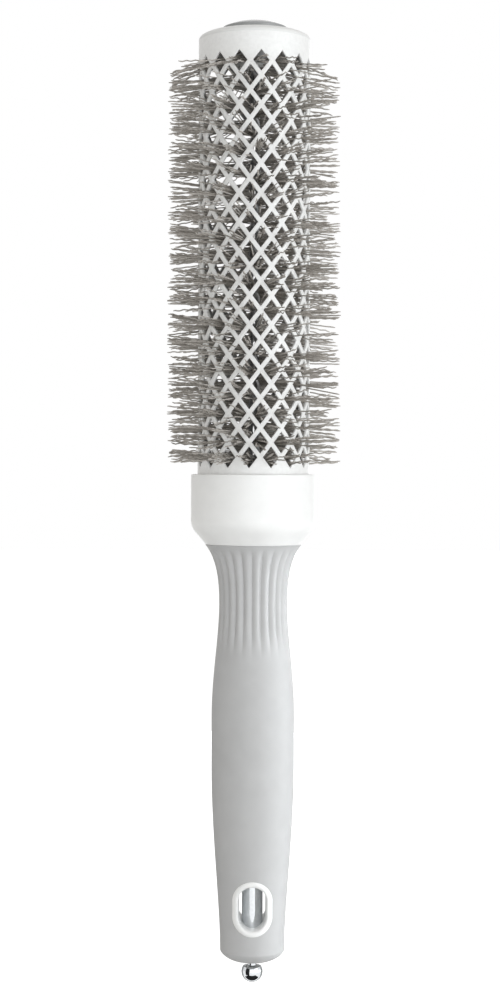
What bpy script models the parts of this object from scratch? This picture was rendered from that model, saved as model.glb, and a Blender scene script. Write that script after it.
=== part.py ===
"""Round barrel hair brush with a sectioning pick that slides out of the handle.

The brush stands upright along Z, tip up. The origin is on the axis, at the widest section of the grip.
"""

import math

import bmesh
import bpy
from mathutils import Matrix, Vector
from mathutils.geometry import interpolate_bezier

MM = 0.001

# Clearances between pieces
FIT = 0.3 * MM  # left between pieces that seat on each other
RING_FIT = 0.15 * MM  # left between the friction ring and the bore it slides in

# Barrel: perforated tube with staggered diamond holes
BARREL_D = 35 * MM
BARREL_WALL = 1.0 * MM
HOLE_COLUMNS = 16
HOLE_ROWS = 28
ROW_PITCH = 4.48 * MM
STRUT = 1.72 * MM  # width of the metal between two holes
TOP_BAND = 5.9 * MM  # plain band above the highest holes
BOTTOM_BAND = 2.1 * MM  # plain band that shows between the collar and the lowest holes
SOCKET_DEPTH = 11 * MM  # length of barrel inside the collar
LATTICE_TURN = math.radians(6.9 - 90)  # bearing of the first hole of the top row

# Bristles, clamped by a twisted pair of wires
BRISTLE_REACH = 9.7 * MM  # beyond the barrel's outer face
ROOT_WALL = 0.9 * MM  # radial thickness of the clamped roots round the wires
ROOT_HEIGHT = 0.9 * MM
WIRE_D = 1.7 * MM
WIRE_GAP = 0.5 * MM
WIRE_PITCH = 50 * MM
WIRE_POINTS = 8  # points for each turn

# Tip cap and its button
CAP_RISE = 2.5 * MM  # height of the cap's rounded shoulder
CAP_RIM = 7.1 * MM  # width of the cap that shows round the button
CAP_OVERRUN = 0.5 * MM  # how far the shoulder's curve would run on under the button
BUTTON_EDGE = 1.4 * MM  # how far the button's edge stands above the cap's rim
BUTTON_RISE = 2.2 * MM  # of the dome above that edge
BUTTON_SEAT = 1.2 * MM  # depth of the recess that takes the button
HUB_WALL = 2.2 * MM  # round the upper end of the wires
CAP_FLOOR = 1.5 * MM  # below the button's recess
SKIRT_WALL = 1.5 * MM

# Collar and the plug inside it
COLLAR_WALL = 1.7 * MM
COLLAR_STRAIGHT = 14.5 * MM
COLLAR_FLARE = 7.4 * MM  # height of the foot that curves in to the grip
COLLAR_PULLS = 0.4, 0.25, 0.33  # handles of the foot's curve, as shares of its height
COLLAR_EDGE = 0.5 * MM
COLLAR_FLOOR = 3 * MM
PLUG_MARGIN = 1.2 * MM  # between the plug's top and the lowest holes

# Handle: rigid core under a soft grip
SEAM_R = 15 * MM  # where grip and collar meet
SEAM_HEIGHT = 61 * MM
NECK_R = 10.6 * MM
NECK_DROP = 18.5 * MM  # narrowest section below the seam
BELLY_R = 12.97 * MM
BELLY_HALF = 8 * MM  # half-length of the parallel stretch at the widest section
END_DEPTH = 65.3 * MM  # where the rounded end starts, below the origin
END_ROUND = 3.5 * MM
FLARE_SLOPE = Vector((0.6, 0.8))  # direction of the grip's side at the seam
FLARE_PULLS = 0.32, 0.5  # handles of the profile's curves, as shares of each one's length
WAIST_PULLS = 0.26, 0.4
TAPER_PULLS = 0.33, 0.26
END_PULLS = 0.23, 0.6
GRIP_WALL = 2 * MM
TANG_D = 16 * MM
TANG_LENGTH = 10 * MM
TANG_SOCKET_DEPTH = 12.5 * MM  # how deep the wires go into the tang
FLUTES = 24
FLUTE_DEPTH = 0.5 * MM
FLUTE_MARGIN = 1.5 * MM  # plain grip above the flutes
FLUTE_LENGTH = 32 * MM
FLUTE_FADE = 0.7  # power of the sine along a flute: the lower, the blunter its ends

# Slot through the handle's lower end
SLOT_FLOOR = 9 * MM  # handle left below the slot
SLOT_SIDE_WALL = 1.2 * MM  # core left on each side of the slot
SLOT_GAP = 1.2 * MM  # clear width on each side of the guide tube
SLOT_TALLER = 4.8 * MM  # slot height over its width
LINER_WALL = 1.75 * MM
LINER_PROUD = 0.25 * MM  # how far the liner stands out of the grip

# Sectioning pick
TRAVEL = 60 * MM
END_PLAY = 2.5 * MM  # left between stop and bush at full travel
ROD_D = 2.6 * MM
TUBE_WALL = 0.75 * MM
BUSH_WALL = 0.6 * MM
BUSH_LENGTH = 7.3 * MM
BUSH_FLANGE = 0.7 * MM
STOP_LENGTH = 5 * MM
STOP_HEADROOM = 1.5 * MM
RING_CORD_D = 0.9 * MM
BALL_D = 6.6 * MM
BALL_FLAT = 1.3 * MM  # cut off the top of the ball
BALL_GAP = 1.4 * MM  # neck of rod that shows between the grip's end and the ball
BALL_SOCKET = 2.8 * MM

# Facets of round pieces
ROUND_STEPS = 2 * HOLE_COLUMNS  # facet edges meet the holes' upper and lower corners
GRIP_STEPS = 2 * FLUTES
CORE_STEPS = 16
PICK_STEPS = 12
WIRE_BORE_STEPS = 6
CORD_STEPS = 6
TIP_SEGMENTS = 3  # along the cap's shoulder and the button's dome
BALL_SEGMENTS = 7
SLOT_SEGMENTS = 8  # round each end of the slot
SHOWN_SEGMENTS = 4  # along each curve of a visible profile
HIDDEN_SEGMENTS = 2  # along each curve of an inner profile
SHARP_ANGLE = math.radians(35)
WELD = 0.001 * MM  # points nearer than this are one point

# Radii and heights worked out from the sizes above
barrel_r = BARREL_D / 2
barrel_bore_r = barrel_r - BARREL_WALL
hole_pitch = 2 * math.pi / HOLE_COLUMNS
cell_half_w = barrel_r * hole_pitch / 2
cell_band = 2 * cell_half_w * ROW_PITCH / math.hypot(cell_half_w, ROW_PITCH)
hole_share = 1 - STRUT / cell_band
hole_half_w = cell_half_w * hole_share
hole_half_h = ROW_PITCH * hole_share

collar_r = barrel_r + FIT + COLLAR_WALL
seat_r = SEAM_R - GRIP_WALL - FIT  # the core's boss inside the collar
collar_foot = SEAM_HEIGHT + FIT / 2
collar_shoulder = collar_foot + COLLAR_FLARE
collar_top = collar_shoulder + COLLAR_STRAIGHT
cup_floor = collar_top - SOCKET_DEPTH - FIT
barrel_bottom = cup_floor + FIT
lowest_tip = collar_top + BOTTOM_BAND
lowest_row = lowest_tip + hole_half_h
highest_row = lowest_row + (HOLE_ROWS - 1) * ROW_PITCH
barrel_top = highest_row + hole_half_h + TOP_BAND
plug_top = lowest_tip - PLUG_MARGIN

wire_offset = (WIRE_D + WIRE_GAP) / 2
wire_bore_r = wire_offset + WIRE_D / 2 + FIT
boss_top = cup_floor - COLLAR_FLOOR - FIT
tang_r = TANG_D / 2
tang_top = barrel_bottom + TANG_LENGTH - COLLAR_FLOOR - FIT
wire_bottom = tang_top - TANG_SOCKET_DEPTH + FIT

cap_base = barrel_top + FIT
recess_r = barrel_r - CAP_RIM
button_r = recess_r - FIT
cap_run = CAP_RIM + CAP_OVERRUN
recess_turn = math.acos(CAP_OVERRUN / cap_run)
recess_rim = cap_base + CAP_RISE * math.sin(recess_turn)
recess_floor = recess_rim - BUTTON_SEAT
crown_bottom = recess_floor - CAP_FLOOR
wire_top = crown_bottom - FIT
hub_bottom = highest_row + ROOT_HEIGHT / 2 + FIT

grip_top = SEAM_HEIGHT - FIT / 2
neck_height = SEAM_HEIGHT - NECK_DROP
grip_end = -END_DEPTH - END_ROUND
rod_r = ROD_D / 2
rod_bore_r = rod_r + FIT
sleeve_r = rod_bore_r + BUSH_WALL
tube_bore_r = sleeve_r + FIT
tube_r = tube_bore_r + TUBE_WALL
mouth_r = tube_r + FIT
bush_foot = grip_end + FIT
tube_bottom = bush_foot + BUSH_FLANGE + FIT
bush_top = tube_bottom + BUSH_LENGTH
stop_bottom = bush_top + END_PLAY + TRAVEL
stop_top = stop_bottom + STOP_LENGTH
tube_top = stop_top + STOP_HEADROOM
ball_r = BALL_D / 2
ball_flat = grip_end - BALL_GAP
ball_centre = ball_flat - ball_r + BALL_FLAT

liner_half_w = tube_r + SLOT_GAP + LINER_WALL
liner_half_h = liner_half_w + SLOT_TALLER / 2
slot_height = grip_end + SLOT_FLOOR + FIT + liner_half_h
end_r = liner_half_w + FIT + SLOT_SIDE_WALL + FIT + GRIP_WALL


def collection(name):
    made = bpy.data.collections.new(name)
    bpy.context.scene.collection.children.link(made)
    return made


def material(name, colour, roughness, metallic=0.0):
    made = bpy.data.materials.new(name)
    made.use_nodes = True
    shader = made.node_tree.nodes["Principled BSDF"]
    shader.inputs["Base Color"].default_value = (*colour, 1)
    shader.inputs["Roughness"].default_value = roughness
    shader.inputs["Metallic"].default_value = metallic
    made.diffuse_color = (*colour, 1)
    return made


def carrier(name):
    """An empty on the axis that carries the pieces of one body."""
    made = bpy.data.objects.new(name, None)
    PARTS.objects.link(made)
    return made


def piece(name, mesh, finish, parent):
    made = bpy.data.objects.new(name, mesh)
    mesh.materials.append(finish)
    made.parent = parent
    PARTS.objects.link(made)
    return made


def cutter(name, mesh):
    made = bpy.data.objects.new(name, mesh)
    made.hide_render = True
    made.display_type = "WIRE"
    CUTTERS.objects.link(made)
    return made


def combine(target, tool, operation="DIFFERENCE"):
    boolean = target.modifiers.new(tool.name, "BOOLEAN")
    boolean.operation = operation
    boolean.object = tool


def evaluated_mesh(source):
    """The mesh that an object's modifiers or bevel make. The object itself is removed."""
    bpy.context.view_layer.update()
    graph = bpy.context.evaluated_depsgraph_get()
    mesh = bpy.data.meshes.new_from_object(source.evaluated_get(graph))
    bpy.data.objects.remove(source)
    return mesh


def shade(mesh):
    mesh.shade_smooth()
    mesh.set_sharp_from_angle(angle=SHARP_ANGLE)
    return mesh


def turned(name, profile, steps, closed=False):
    """Mesh turned about Z from (radius, height) points that run down the outer side."""
    outline = bpy.data.meshes.new(name)
    edges = [(i, i + 1) for i in range(len(profile) - 1)]
    if closed:
        edges.append((len(profile) - 1, 0))
    outline.from_pydata([(radius, 0, height) for radius, height in profile], edges, [])
    lathe = bpy.data.objects.new(name, outline)
    CUTTERS.objects.link(lathe)
    screw = lathe.modifiers.new("lathe", "SCREW")
    screw.steps = steps
    screw.render_steps = steps
    screw.use_merge_vertices = True
    screw.merge_threshold = WELD
    mesh = evaluated_mesh(lathe)
    mesh.name = name
    return shade(mesh)


def bend(start, start_pull, end, end_pull, segments=SHOWN_SEGMENTS):
    """Points of a Bezier curve between two (radius, height) ends, pulled along the given vectors."""
    start, end = Vector((*start, 0)), Vector((*end, 0))
    points = interpolate_bezier(
        start, start + Vector((*start_pull, 0)), end + Vector((*end_pull, 0)), end, segments + 1
    )
    return [(point.x, point.y) for point in points]


def ellipse(centre_r, centre_z, half_r, half_z, from_turn, to_turn, segments=SHOWN_SEGMENTS):
    turns = [from_turn + (to_turn - from_turn) * i / segments for i in range(segments + 1)]
    return [(centre_r + half_r * math.cos(t), centre_z + half_z * math.sin(t)) for t in turns]


def handle_profile(inset, segments=SHOWN_SEGMENTS):
    """Outer side of the handle from the seam down to its mouth, set in by a wall thickness."""
    flare_length = grip_top - neck_height
    waist_length = neck_height - BELLY_HALF
    taper_length = END_DEPTH - BELLY_HALF
    flare = bend(
        (SEAM_R - inset, grip_top),
        -FLARE_PULLS[0] * flare_length * FLARE_SLOPE,
        (NECK_R - inset, neck_height),
        (0, FLARE_PULLS[1] * flare_length),
        segments,
    )
    waist = bend(
        (NECK_R - inset, neck_height),
        (0, -WAIST_PULLS[0] * waist_length),
        (BELLY_R - inset, BELLY_HALF),
        (0, WAIST_PULLS[1] * waist_length),
        segments,
    )
    taper = bend(
        (BELLY_R - inset, -BELLY_HALF),
        (0, -TAPER_PULLS[0] * taper_length),
        (end_r - inset, -END_DEPTH),
        (0, TAPER_PULLS[1] * taper_length),
        segments,
    )
    end_w, end_h = end_r - inset - mouth_r, END_ROUND - inset
    end = bend(
        (end_r - inset, -END_DEPTH),
        (0, -END_PULLS[0] * end_h),
        (mouth_r, -END_DEPTH - end_h),
        (END_PULLS[1] * end_w, 0),
        segments,
    )
    return flare + waist[1:] + taper + end[1:]


def cylinder(radius, bottom, top, steps):
    mesh = bpy.data.meshes.new("cylinder")
    made = bmesh.new()
    bmesh.ops.create_cone(
        made,
        cap_ends=True,
        segments=steps,
        radius1=radius,
        radius2=radius,
        depth=top - bottom,
        matrix=Matrix.Translation((0, 0, (top + bottom) / 2)),
    )
    made.to_mesh(mesh)
    made.free()
    return shade(mesh)


def slot_mesh(name, outlines, depth):
    """Mesh of round-ended outlines, each (half width, half height), that runs front to back."""
    curve = bpy.data.curves.new(name, "CURVE")
    curve.dimensions = "2D"
    curve.fill_mode = "BOTH"
    curve.extrude = depth
    for half_w, half_h in outlines:
        lift = half_h - half_w
        upper = ellipse(0, lift, half_w, half_w, 0, math.pi, SLOT_SEGMENTS)
        lower = ellipse(0, -lift, half_w, half_w, math.pi, 2 * math.pi, SLOT_SEGMENTS)
        spline = curve.splines.new("POLY")
        spline.points.add(len(upper + lower) - 1)
        for point, (x, y) in zip(spline.points, upper + lower):
            point.co = (x, y, 0, 1)
        spline.use_cyclic_u = True
    flat = bpy.data.objects.new(name, curve)
    CUTTERS.objects.link(flat)
    mesh = evaluated_mesh(flat)
    made = bmesh.new()
    made.from_mesh(mesh)
    bmesh.ops.remove_doubles(made, verts=made.verts, dist=WELD)
    made.to_mesh(mesh)
    made.free()
    mesh.transform(Matrix.Translation((0, 0, slot_height)) @ Matrix.Rotation(math.pi / 2, 4, "X"))
    return shade(mesh)


def make_barrel():
    """Aluminium tube, punched with diamond holes."""
    ends = [(barrel_r, barrel_top), (barrel_r, barrel_bottom)]
    bore = [(barrel_bore_r, barrel_bottom), (barrel_bore_r, barrel_top)]
    tube = piece("barrel_tube", turned("barrel_tube", ends + bore, ROUND_STEPS, True), COATING, BRUSH)
    tube.rotation_euler.z = LATTICE_TURN
    punch_depth = 4 * BARREL_WALL
    punched = bmesh.new()
    for row in range(HOLE_ROWS):
        for column in range(HOLE_COLUMNS):
            turn = (column + row % 2 / 2) * hole_pitch
            out = Vector((math.cos(turn), math.sin(turn), 0))
            across = Vector((math.sin(turn), -math.cos(turn), 0))
            up = Vector((0, 0, 1))
            axes = Matrix((up * hole_half_h, across * hole_half_w, out * punch_depth)).transposed()
            centre = out * (barrel_r - BARREL_WALL / 2) + up * (highest_row - row * ROW_PITCH)
            bmesh.ops.create_cone(
                punched,
                cap_ends=True,
                segments=4,
                radius1=1,
                radius2=1,
                depth=1,
                matrix=Matrix.Translation(centre) @ axes.to_4x4(),
            )
    mesh = bpy.data.meshes.new("hole_punches")
    punched.to_mesh(mesh)
    punched.free()
    punches = cutter("hole_punches", mesh)
    punches.rotation_euler.z = LATTICE_TURN
    combine(tube, punches)


def bristle_row_mesh():
    """A ring of clamped roots with one tapering strand for each hole of a row."""
    root_r = wire_bore_r + ROOT_WALL
    corner_r = root_r / math.cos(hole_pitch / 2)
    made = bmesh.new()
    bmesh.ops.create_cone(
        made,
        cap_ends=True,
        segments=HOLE_COLUMNS,
        radius1=corner_r,
        radius2=corner_r,
        depth=ROOT_HEIGHT,
        matrix=Matrix.Rotation(hole_pitch / 2, 4, "Z"),
    )
    sides = [face for face in made.faces if abs(face.normal.z) < 0.5]
    bmesh.ops.poke(made, faces=sides, offset=barrel_r + BRISTLE_REACH - root_r)
    mesh = bpy.data.meshes.new("bristle_row")
    made.to_mesh(mesh)
    made.free()
    ring = bpy.data.objects.new("bristle_row", mesh)
    CUTTERS.objects.link(ring)
    bore_r = wire_bore_r / math.cos(math.pi / WIRE_BORE_STEPS)
    combine(ring, cutter("root_bore", cylinder(bore_r, -ROOT_HEIGHT, ROOT_HEIGHT, WIRE_BORE_STEPS)))
    return evaluated_mesh(ring)


def make_bristles():
    mesh = bristle_row_mesh()
    mesh.materials.append(NYLON)
    for row in range(HOLE_ROWS):
        ring = bpy.data.objects.new(f"bristle_row_{row + 1:02d}", mesh)
        ring.parent = BRUSH
        ring.location.z = highest_row - row * ROW_PITCH
        ring.rotation_euler.z = LATTICE_TURN + row % 2 * hole_pitch / 2
        PARTS.objects.link(ring)


def make_wires():
    """Two wires twisted round each other, from the handle's tang to the tip cap."""
    points = round((wire_top - wire_bottom) / WIRE_PITCH * WIRE_POINTS) + 1
    for name, phase in (("core_wire_a", 0), ("core_wire_b", math.pi)):
        curve = bpy.data.curves.new(name, "CURVE")
        curve.dimensions = "3D"
        curve.bevel_depth = WIRE_D / 2
        curve.bevel_resolution = 0
        curve.use_fill_caps = True
        spline = curve.splines.new("POLY")
        spline.points.add(points - 1)
        for i, point in enumerate(spline.points):
            height = wire_bottom + (wire_top - wire_bottom) * i / (points - 1)
            turn = phase + 2 * math.pi * (height - wire_bottom) / WIRE_PITCH
            point.co = (wire_offset * math.cos(turn), wire_offset * math.sin(turn), height, 1)
        piece(name, curve, STEEL, BRUSH)


def make_tip():
    """Cap plugged into the barrel's upper end, with a domed button in its crown."""
    shoulder = ellipse(barrel_r - cap_run, cap_base, cap_run, CAP_RISE, recess_turn, 0, TIP_SEGMENTS)
    skirt_r = barrel_bore_r - FIT
    skirt_bottom = barrel_top - TOP_BAND + FIT
    hub_r = wire_bore_r + HUB_WALL
    below = [
        (skirt_r, cap_base),
        (skirt_r, skirt_bottom),
        (skirt_r - SKIRT_WALL, skirt_bottom),
        (skirt_r - SKIRT_WALL, crown_bottom),
        (hub_r, crown_bottom),
        (hub_r, hub_bottom),
        (wire_bore_r, hub_bottom),
        (wire_bore_r, crown_bottom),
        (0, crown_bottom),
    ]
    crown = [(0, recess_floor), (recess_r, recess_floor)]
    piece("tip_cap", turned("tip_cap", crown + shoulder + below, ROUND_STEPS), WHITE, BRUSH)

    dome_r = (button_r**2 + BUTTON_RISE**2) / (2 * BUTTON_RISE)
    dome_centre = recess_rim + BUTTON_EDGE + BUTTON_RISE - dome_r
    edge_turn = math.acos(button_r / dome_r)
    dome = ellipse(0, dome_centre, dome_r, dome_r, math.pi / 2, edge_turn, TIP_SEGMENTS)
    dome[0] = (0, dome[0][1])
    seat = [(button_r, recess_floor + FIT), (0, recess_floor + FIT)]
    piece("tip_button", turned("tip_button", dome + seat, ROUND_STEPS), GREY, BRUSH)


def make_collar():
    """White ferrule: a cup for the barrel above, a recess for the core's boss below."""
    shoulder_pull, foot_out, foot_up = (share * COLLAR_FLARE for share in COLLAR_PULLS)
    foot = bend(
        (collar_r, collar_shoulder), (0, -shoulder_pull), (SEAM_R, collar_foot), (foot_out, foot_up)
    )
    outer = [(collar_r - COLLAR_EDGE, collar_top), (collar_r, collar_top - COLLAR_EDGE)] + foot
    recess = [
        (seat_r + FIT, collar_foot),
        (seat_r + FIT, boss_top + FIT),
        (tang_r + FIT, boss_top + FIT),
        (tang_r + FIT, cup_floor),
    ]
    cup = [(barrel_r + FIT, cup_floor), (barrel_r + FIT, collar_top)]
    piece("collar", turned("collar", outer + recess + cup, ROUND_STEPS, True), WHITE, BRUSH)


def make_base_plug():
    """Plug inside the barrel's lower end, on the tang and round the wires."""
    plug_r = barrel_bore_r - FIT
    section = [
        (plug_r, plug_top),
        (plug_r, barrel_bottom),
        (tang_r + FIT, barrel_bottom),
        (tang_r + FIT, tang_top + FIT),
        (wire_bore_r, tang_top + FIT),
        (wire_bore_r, plug_top),
    ]
    piece("base_plug", turned("base_plug", section, CORE_STEPS, True), NATURAL, BRUSH)


def make_handle():
    """Rigid core with its tang, the soft grip over it, and the lining of the slot."""
    inset = GRIP_WALL + FIT
    tang = [
        (0, wire_bottom - FIT),
        (wire_bore_r, wire_bottom - FIT),
        (wire_bore_r, tang_top),
        (tang_r, tang_top),
        (tang_r, boss_top),
        (seat_r, boss_top),
    ]
    bore = [(mouth_r, tube_top + FIT), (0, tube_top + FIT)]
    outline = tang + handle_profile(inset, HIDDEN_SEGMENTS) + bore
    core = piece("handle_core", turned("handle_core", outline, CORE_STEPS), NATURAL, BRUSH)

    grip_outline = [(0, grip_top)] + handle_profile(0) + [(0, grip_end)]
    grip_mesh = turned("grip_sleeve", grip_outline, GRIP_STEPS)
    press_flutes(grip_mesh)
    grip = piece("grip_sleeve", grip_mesh, SOFT_GREY, BRUSH)
    cavity_top = grip_top + GRIP_WALL
    cavity_outline = [(0, cavity_top), (SEAM_R - GRIP_WALL, cavity_top)]
    cavity_outline += handle_profile(GRIP_WALL, HIDDEN_SEGMENTS) + [(0, grip_end + GRIP_WALL)]
    combine(grip, cutter("grip_cavity", turned("grip_cavity", cavity_outline, CORE_STEPS)))
    mouth = cylinder(mouth_r, grip_end - GRIP_WALL, grip_end + 2 * GRIP_WALL, CORE_STEPS)
    combine(grip, cutter("grip_mouth", mouth))

    opening = [(liner_half_w + FIT, liner_half_h + FIT)]
    slot = cutter("slot_opening", slot_mesh("slot_opening", opening, 2 * BELLY_R))
    combine(core, slot)
    combine(grip, slot)

    walls = [(liner_half_w, liner_half_h), (liner_half_w - LINER_WALL, liner_half_h - LINER_WALL)]
    liner_mesh = slot_mesh("slot_liner", walls, 2 * BELLY_R)
    liner = piece("slot_liner", liner_mesh, WHITE, BRUSH)
    hull_outline = [(0, grip_top)] + handle_profile(-LINER_PROUD) + [(0, grip_end - LINER_PROUD)]
    hull = cutter("handle_hull", turned("handle_hull", hull_outline, ROUND_STEPS))
    combine(liner, hull, "INTERSECT")
    bore_tool = cylinder(mouth_r, grip_end, tube_top, CORE_STEPS)
    combine(liner, cutter("tube_bore", bore_tool))


def press_flutes(mesh):
    """Presses shallow grooves into the neck, on every second line of points, fading out at both ends."""
    for vert in mesh.vertices:
        radius = math.hypot(vert.co.x, vert.co.y)
        line = round(math.atan2(vert.co.y, vert.co.x) / (2 * math.pi) * GRIP_STEPS)
        along = (grip_top - FLUTE_MARGIN - vert.co.z) / FLUTE_LENGTH
        if line % 2 == 0 and 0 < along < 1 and radius > NECK_R / 2:
            shrink = 1 - FLUTE_DEPTH * math.sin(math.pi * along) ** FLUTE_FADE / radius
            vert.co.x *= shrink
            vert.co.y *= shrink


def make_pick():
    """Guide tube and bush in the handle, and the pick that slides in them."""
    tube = [
        (tube_r, tube_top),
        (tube_r, tube_bottom),
        (tube_bore_r, tube_bottom),
        (tube_bore_r, tube_top),
    ]
    piece("pick_tube", turned("pick_tube", tube, CORE_STEPS, True), CHROME, BRUSH)
    bush = [
        (sleeve_r, bush_top),
        (sleeve_r, tube_bottom - FIT),
        (tube_r, tube_bottom - FIT),
        (tube_r, bush_foot),
        (rod_bore_r, bush_foot),
        (rod_bore_r, bush_top),
    ]
    piece("mouth_bush", turned("mouth_bush", bush, PICK_STEPS, True), NATURAL, BRUSH)

    rod_bottom = ball_flat - BALL_SOCKET + FIT
    rod_seat = stop_bottom + STOP_LENGTH / 2
    piece("pick_rod", cylinder(rod_r, rod_bottom, rod_seat - FIT, PICK_STEPS), CHROME, PICK)

    flat_turn = math.asin((ball_flat - ball_centre) / ball_r)
    ball = [(0, ball_flat - BALL_SOCKET), (rod_bore_r, ball_flat - BALL_SOCKET), (rod_bore_r, ball_flat)]
    ball += ellipse(0, ball_centre, ball_r, ball_r, flat_turn, -math.pi / 2, BALL_SEGMENTS)
    ball[-1] = (0, ball[-1][1])
    piece("pick_ball", turned("pick_ball", ball, PICK_STEPS), CHROME, PICK)

    ring_r = tube_bore_r - RING_FIT - RING_CORD_D / 2
    groove_r = ring_r - RING_CORD_D / 2 - RING_FIT
    groove_half = RING_CORD_D / 2 + RING_FIT
    ring_height = (rod_seat + stop_top) / 2
    stop = [
        (0, stop_top),
        (sleeve_r, stop_top),
        (sleeve_r, ring_height + groove_half),
        (groove_r, ring_height + groove_half),
        (groove_r, ring_height - groove_half),
        (sleeve_r, ring_height - groove_half),
        (sleeve_r, stop_bottom),
        (rod_bore_r, stop_bottom),
        (rod_bore_r, rod_seat),
        (0, rod_seat),
    ]
    piece("pick_stop", turned("pick_stop", stop, PICK_STEPS), NATURAL, PICK)
    cord = ellipse(ring_r, ring_height, RING_CORD_D / 2, RING_CORD_D / 2, 0, -2 * math.pi, CORD_STEPS)[:-1]
    piece("pick_ring", turned("pick_ring", cord, PICK_STEPS, True), RUBBER, PICK)


for old in list(bpy.data.objects):
    bpy.data.objects.remove(old)

PARTS = collection("round_barrel_brush")
CUTTERS = collection("cutters")

COATING = material("ceramic_coating", (0.80, 0.80, 0.79), 0.35)
WHITE = material("white_gloss_plastic", (0.86, 0.86, 0.85), 0.22)
GREY = material("grey_gloss_plastic", (0.42, 0.42, 0.41), 0.25)
SOFT_GREY = material("soft_touch_grey", (0.52, 0.52, 0.51), 0.6)
NATURAL = material("natural_plastic", (0.75, 0.74, 0.70), 0.5)
NYLON = material("taupe_nylon", (0.25, 0.23, 0.21), 0.45)
STEEL = material("galvanised_wire", (0.6, 0.6, 0.6), 0.35, 1.0)
CHROME = material("chrome_plate", (0.8, 0.8, 0.8), 0.08, 1.0)
RUBBER = material("black_rubber", (0.03, 0.03, 0.03), 0.7)

BRUSH = carrier("brush")
PICK = carrier("pick")

make_barrel()
make_bristles()
make_wires()
make_tip()
make_collar()
make_base_plug()
make_handle()
make_pick()
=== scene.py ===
import math
import random

import bmesh
import bpy
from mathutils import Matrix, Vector
from mathutils.geometry import interpolate_bezier


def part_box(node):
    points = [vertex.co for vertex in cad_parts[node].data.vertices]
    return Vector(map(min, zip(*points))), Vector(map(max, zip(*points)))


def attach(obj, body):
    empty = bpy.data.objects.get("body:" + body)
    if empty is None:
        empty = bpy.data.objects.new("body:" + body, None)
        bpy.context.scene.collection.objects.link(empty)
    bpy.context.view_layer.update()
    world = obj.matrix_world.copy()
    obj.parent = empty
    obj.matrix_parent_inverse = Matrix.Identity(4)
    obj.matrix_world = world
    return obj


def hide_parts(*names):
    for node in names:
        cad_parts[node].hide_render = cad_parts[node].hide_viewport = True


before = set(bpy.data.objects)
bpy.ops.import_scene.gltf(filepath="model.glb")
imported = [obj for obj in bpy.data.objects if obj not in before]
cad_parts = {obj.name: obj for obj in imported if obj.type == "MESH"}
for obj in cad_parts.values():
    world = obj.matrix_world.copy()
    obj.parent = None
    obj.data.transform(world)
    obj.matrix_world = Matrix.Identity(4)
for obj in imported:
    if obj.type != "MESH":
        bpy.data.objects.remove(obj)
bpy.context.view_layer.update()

# Barrel: a thin aluminium tube, punched all over with staggered diamond holes and sprayed from outside
# with white ceramic, which rounds the punched edges. Its inside stays bare, coloured a dark grey as
# painted shade for the dim inside of the barrel. The cap closes its upper end and the plug its lower
# one.
HOLE_COLUMNS = 16
FIRST_HOLE = math.radians(6.5)  # bearing of a hole in the top row, to the right of the front
STRUT = 0.0014
BARREL_WALL = 0.0008
COATED_EDGE = 0.0002
WELD = 0.00001
SMOOTH_ANGLE = math.radians(40)


def reach(node):
    """Largest distance from the brush's axis to a CAD node's surface."""
    return max(vert.co.xy.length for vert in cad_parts[node].data.vertices)


def apply_modifier(piece, kind, **settings):
    """Adds a modifier to a piece, sets it and applies it."""
    modifier = piece.modifiers.new(kind.lower(), kind)
    for name, value in settings.items():
        setattr(modifier, name, value)
    bpy.context.view_layer.objects.active = piece
    bpy.ops.object.modifier_apply(modifier=modifier.name)


def close_seams(piece):
    """Merges the points that meet along seams and turns the faces outwards."""
    bpy.ops.object.mode_set(mode="EDIT")
    bpy.ops.mesh.select_all(action="SELECT")
    bpy.ops.mesh.remove_doubles(threshold=WELD)
    bpy.ops.mesh.normals_make_consistent(inside=False)
    bpy.ops.object.mode_set(mode="OBJECT")


def repeat(piece, count, step):
    """Copies the whole of a piece in a row, welded where the copies meet."""
    apply_modifier(
        piece,
        "ARRAY",
        count=count,
        use_relative_offset=False,
        use_constant_offset=True,
        constant_offset_displace=step,
        use_merge_vertices=True,
        merge_threshold=WELD,
    )


def dress(piece, body, finish, slot, *nodes):
    """Gives a finished piece its material and stands it in for CAD nodes on their body."""
    piece.data.materials.clear()
    piece.data.materials.append(finish)
    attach(piece, body)
    if nodes:
        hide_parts(*nodes)


def new_finish(name, colour, roughness, metallic=0.0):
    """A material whose shader holds what is the same all over the surface."""
    made = bpy.data.materials.new(name)
    made.use_nodes = True
    shader = made.node_tree.nodes["Principled BSDF"]
    shader.inputs["Base Color"].default_value = (*colour, 1)
    shader.inputs["Roughness"].default_value = roughness
    shader.inputs["Metallic"].default_value = metallic
    return made


def speckle(finish, grain_size, detail=2.0, stretch=(1, 1, 1)):
    """Noise on the piece's own coordinates, with features of the given size in metres."""
    nodes, links = finish.node_tree.nodes, finish.node_tree.links
    place = nodes.new("ShaderNodeTexCoord")
    scaled = nodes.new("ShaderNodeMapping")
    scaled.inputs["Scale"].default_value = stretch
    noise = nodes.new("ShaderNodeTexNoise")
    noise.inputs["Scale"].default_value = 1 / grain_size
    noise.inputs["Detail"].default_value = detail
    links.new(place.outputs["Object"], scaled.inputs["Vector"])
    links.new(scaled.outputs["Vector"], noise.inputs["Vector"])
    return noise.outputs["Fac"]


def tint(finish, pattern, dark, light):
    """Colours the surface between two tones of one colour."""
    nodes, links = finish.node_tree.nodes, finish.node_tree.links
    ramp = nodes.new("ShaderNodeValToRGB")
    ramp.color_ramp.elements[0].position = 0.3
    ramp.color_ramp.elements[0].color = (*dark, 1)
    ramp.color_ramp.elements[1].position = 0.7
    ramp.color_ramp.elements[1].color = (*light, 1)
    links.new(pattern, ramp.inputs["Fac"])
    links.new(ramp.outputs["Color"], nodes["Principled BSDF"].inputs["Base Color"])


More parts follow.
